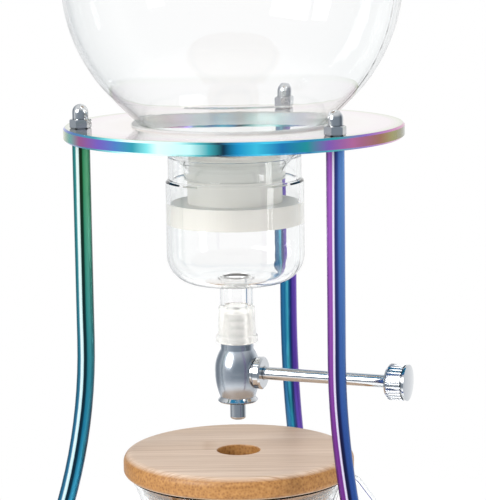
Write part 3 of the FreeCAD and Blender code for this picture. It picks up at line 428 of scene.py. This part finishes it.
def bamboo(name, bearing):
    """Bamboo strips, glued side by side, turned and oiled: long fibres and dotted ends."""
    made, tree, shader = start_material(
        name, Specular_IOR_Level=0.45, Coat_Weight=0.12, Coat_Roughness=0.3
    )
    board = add(tree, "VectorRotate", {
        "Vector": millimetres(tree), "Angle": -math.radians(bearing)},
        rotation_type="Z_AXIS").outputs[0]
    fibre = noise(tree, stretched(tree, board, FIBRE_SCALES), 1.0, 4.0, 0.6)
    upright = reckon(tree, "ABSOLUTE", facing(tree, (0, 0, 1)))
    hue = mix(tree, rescale(tree, upright, 0.55, 0.9),
              turned_edge(tree, board, fibre), strip_faces(tree, board, fibre))
    tree.links.new(hue, shader.inputs["Base Color"])
    tree.links.new(rescale(tree, fibre, to_low=0.38, to_high=0.6), shader.inputs["Roughness"])
    bump(tree, shader, fibre, 0.08, 0.5)
    return made


class DripTowerStage(bpy.types.PropertyGroup):
    """What a user would change on the stage."""

    floor_radius: bpy.props.FloatProperty(
        name="Floor radius", description="Radius of the pale floor before it fades out",
        default=1.1, min=0.5, max=5.0, unit="LENGTH")
    floor_colour: bpy.props.FloatVectorProperty(
        name="Floor colour", description="Colour of the floor and of the background",
        default=linear("#ffffff")[:3], size=3, subtype="COLOR", min=0.0, max=1.0)
    fill_level: bpy.props.FloatProperty(
        name="Fill level", description="Strength of the even studio light",
        default=0.95, min=0.0, max=2.0)
    key_power: bpy.props.FloatProperty(
        name="Key power", description="Power of the large soft light at the upper left",
        default=9.0, min=0.0, max=200.0, unit="POWER")
    rim_power: bpy.props.FloatProperty(
        name="Side power", description="Power of the tall soft light at the right",
        default=4.0, min=0.0, max=200.0, unit="POWER")


class DRIPTOWER_OT_stage(bpy.types.Operator):
    """Make the floor, the white studio round it, the lights and the camera"""

    bl_idname = "drip_tower.stage"
    bl_label = "Studio and camera"

    def execute(self, context):
        settings = context.scene.drip_tower_stage
        self.make_world(context, settings)
        self.make_floor(context, settings)
        self.make_lights(context, settings)
        self.make_camera(context)
        context.scene.view_settings.view_transform = "Standard"
        return {"FINISHED"}

    def mirrored_room(self, tree):
        """What gloss mirrors: a white room, darker beside the camera and behind it."""
        way = add(tree, "TexCoord").outputs["Generated"]

        def towards(direction):
            return add(tree, "VectorMath", {0: way, 1: tuple(direction)},
                       operation="DOT_PRODUCT").outputs["Value"]

        back = rescale(tree, towards(LOOK_BACK), -1.0, 1.0)
        to_left = ramp(tree, back, [
            (0.0, "#ffffff"), (0.025, "#f6f7f9"), (0.09, "#a3aab2"), (0.24, "#7c848d"),
            (0.4, "#b4bac1"), (0.55, "#f2f4f6"), (0.68, "#b3b9c0"), (0.84, "#98a1ab"),
            (1.0, "#8d97a2")])
        to_right = ramp(tree, back, [
            (0.0, "#ffffff"), (0.06, "#fbfcfd"), (0.2, "#e3e6ea"), (0.34, "#9aa1a9"),
            (0.48, "#59616b"), (0.62, "#6a737e"), (0.8, "#87919c"), (1.0, "#8d97a2")])
        beside = rescale(tree, towards(LOOK_RIGHT), -0.15, 0.15)
        walls = mix(tree, beside, to_left, to_right)
        height = add(tree, "SeparateXYZ", {"Vector": way}).outputs["Z"]
        ceiling = rescale(tree, height, 0.3, 0.8, to_high=0.85)
        return mix(tree, ceiling, walls, linear("#f4f5f6"))

    def make_world(self, context, settings):
        """White to the camera and through glass, even light on all else, a room to gloss."""
        world = bpy.data.worlds.new("white_studio")
        context.scene.world = world
        world.use_nodes = True
        tree = world.node_tree
        tree.nodes.clear()
        seen = add(tree, "Background", {"Color": (*settings.floor_colour, 1.0),
                                        "Strength": 1.0}).outputs[0]
        fill = add(tree, "Background", {"Color": linear("#ffffff"),
                                        "Strength": settings.fill_level}).outputs[0]
        shine = add(tree, "Background", {"Color": self.mirrored_room(tree),
                                         "Strength": 1.0}).outputs[0]
        rays = add(tree, "LightPath").outputs
        straight = reckon(tree, "MAXIMUM", rays["Is Camera Ray"], rays["Is Transmission Ray"])
        base = add(tree, "MixShader", {0: rays["Is Glossy Ray"], 1: fill, 2: shine})
        whole = add(tree, "MixShader", {0: straight, 1: base.outputs[0], 2: seen})
        out = add(tree, "OutputWorld")
        tree.links.new(whole.outputs[0], out.inputs["Surface"])

    def make_floor(self, context, settings):
        """A round sheet of white paper that fades out into the background."""
        mesh = bpy.data.meshes.new("studio_floor")
        form = bmesh.new()
        bmesh.ops.create_circle(form, cap_ends=True, segments=96,
                                radius=settings.floor_radius)
        form.to_mesh(mesh)
        form.free()
        floor = bpy.data.objects.new("studio_floor", mesh)
        context.collection.objects.link(floor)
        paper, tree, shader = start_material("studio_paper_white", Roughness=0.9)
        shader.inputs["Base Color"].default_value = (*settings.floor_colour, 1.0)
        reach = add(tree, "VectorMath", {0: add(tree, "TexCoord").outputs["Object"]},
                    operation="LENGTH").outputs["Value"]
        fade = rescale(tree, reach, FLOOR_SOLID, settings.floor_radius * 0.5,
                       interpolation_type="SMOOTHSTEP")
        clear = add(tree, "BsdfTransparent").outputs[0]
        blend = add(tree, "MixShader", {0: fade, 1: shader.outputs[0], 2: clear})
        show(tree, blend.outputs[0])
        mesh.materials.append(paper)

    def make_lights(self, context, settings):
        """The soft lamps; gloss mirrors the key lamp and not the side one."""
        for name, turn, height, reach, width, length, power in LAMPS:
            light = bpy.data.lights.new(name, "AREA")
            light.shape = "RECTANGLE"
            light.size, light.size_y = width, length
            light.energy = getattr(settings, power)
            lamp = bpy.data.objects.new(name, light)
            lamp.visible_glossy = name == "soft_key"
            context.collection.objects.link(lamp)
            spot = Matrix.Rotation(math.radians(turn), 3, "Z") @ LOOK_BACK * reach
            lamp.location = spot + Vector((0, 0, height))
            lamp.rotation_mode = "QUATERNION"
            lamp.rotation_quaternion = (LAMPS_AIM - lamp.location).to_track_quat("-Z", "Y")

    def make_camera(self, context):
        """The photograph's camera."""
        data = bpy.data.cameras.new("photo_camera")
        data.sensor_width = 36.0
        data.lens = CAMERA_LENS
        data.clip_start, data.clip_end = 0.05, 20.0
        camera = bpy.data.objects.new("photo_camera", data)
        context.collection.objects.link(camera)
        camera.location = LOOK_BACK * CAMERA_REACH + Vector((0, 0, CAMERA_HEIGHT))
        pan, pitch = math.radians(CAMERA_PAN), math.radians(CAMERA_PITCH)
        level = -LOOK_BACK * math.cos(pan) + LOOK_RIGHT * math.sin(pan)
        forward = level * math.cos(pitch) + Vector((0, 0, -math.sin(pitch)))
        aim = forward.to_track_quat("-Z", "Y").to_matrix()
        roll = Matrix.Rotation(math.radians(CAMERA_ROLL), 3, "Z")
        camera.rotation_mode = "QUATERNION"
        camera.rotation_quaternion = (aim @ roll).to_quaternion()
        context.scene.camera = camera


class DRIPTOWER_OT_stand(bpy.types.Operator):
    """Finish the plate and the three legs with the rainbow coat, its painted highlights and
    painted dark reflections
    """

    bl_idname = "drip_tower.stand"
    bl_label = "Plate and legs"

    def execute(self, context):
        dress(coat_plate(), "top_plate")
        for name, (upper, lower) in LEG_HUES_AND_PAINTED_SHINE.items():
            dress(coat_leg(name, upper, lower), name)
        return {"FINISHED"}


class DRIPTOWER_OT_metalwork(bpy.types.Operator):
    """Finish the nuts, the tap and the valve in chrome"""

    bl_idname = "drip_tower.metalwork"
    bl_label = "Nuts, valve and tap"

    def execute(self, context):
        dress(bright_chrome(), "cap_nuts", "packing_nut", "tap_stem", "knob", "set_screw",
              "tap_plug", "drip_nozzle", "inlet_spigot")
        dress(satin_chrome(), "valve_body")
        dress(white_packing(), "stem_packing")
        return {"FINISHED"}


class DRIPTOWER_OT_glass(bpy.types.Operator):
    """Finish the globe, the cup, the server and its handle as glass"""

    bl_idname = "drip_tower.glass"
    bl_label = "Glass"

    def execute(self, context):
        dress(blown_glass(), "globe", "server_jar", "server_handle")
        dress(ground_glass(), "drip_cup")
        return {"FINISHED"}


class DRIPTOWER_OT_rubber(bpy.types.Operator):
    """Finish the bung, the sleeve, the seals and the feet"""

    bl_idname = "drip_tower.rubber"
    bl_label = "Silicone and rubber"

    def execute(self, context):
        dress(silicone("silicone_moulded_grey", "#d8d3cb", 0.05, 0.35), "neck_bung")
        dress(silicone("silicone_moulded_clear", "#fffefc", 0.93, 0.08), "joint_sleeve",
              "reservoir_lid_seal", "server_lid_seal")
        dress(silicone("silicone_moulded_milky", "#fdfcfb", 0.62, 0.3), "seat_ring")
        dress(black_rubber(), "foot_caps")
        return {"FINISHED"}


class DRIPTOWER_OT_woodwork(bpy.types.Operator):
    """Finish both lids in bamboo, with the grain across the photograph"""

    bl_idname = "drip_tower.woodwork"
    bl_label = "Bamboo lids"

    def execute(self, context):
        dress(bamboo("bamboo_turned_oiled", CAMERA_BEARING), "server_lid", "reservoir_lid")
        return {"FINISHED"}


class DRIPTOWER_OT_filter(bpy.types.Operator):
    """Finish the coffee filter as etched steel mesh"""

    bl_idname = "drip_tower.filter"
    bl_label = "Coffee filter"

    def execute(self, context):
        dress(etched_mesh(), "coffee_filter")
        dress(satin_chrome(), "filter_rim")
        return {"FINISHED"}


OPERATORS = (
    DRIPTOWER_OT_stage,
    DRIPTOWER_OT_stand,
    DRIPTOWER_OT_metalwork,
    DRIPTOWER_OT_glass,
    DRIPTOWER_OT_rubber,
    DRIPTOWER_OT_woodwork,
    DRIPTOWER_OT_filter,
)


class DRIPTOWER_PT_panel(bpy.types.Panel):
    """The tower's pieces and its stage"""

    bl_idname = "DRIPTOWER_PT_panel"
    bl_label = "Cold drip tower"
    bl_space_type = "VIEW_3D"
    bl_region_type = "UI"
    bl_category = "Drip Tower"

    def draw(self, context):
        for name in DripTowerStage.__annotations__:
            self.layout.prop(context.scene.drip_tower_stage, name)
        for operator in OPERATORS:
            self.layout.operator(operator.bl_idname)


CLASSES = (DripTowerStage, *OPERATORS, DRIPTOWER_PT_panel)


def register():
    for cls in CLASSES:
        bpy.utils.register_class(cls)
    bpy.types.Scene.drip_tower_stage = bpy.props.PointerProperty(type=DripTowerStage)


def unregister():
    del bpy.types.Scene.drip_tower_stage
    for cls in reversed(CLASSES):
        bpy.utils.unregister_class(cls)


def main():
    register()
    for operator in OPERATORS:
        group, name = operator.bl_idname.split(".")
        getattr(getattr(bpy.ops, group), name)()


if __name__ == "__main__":
    main()
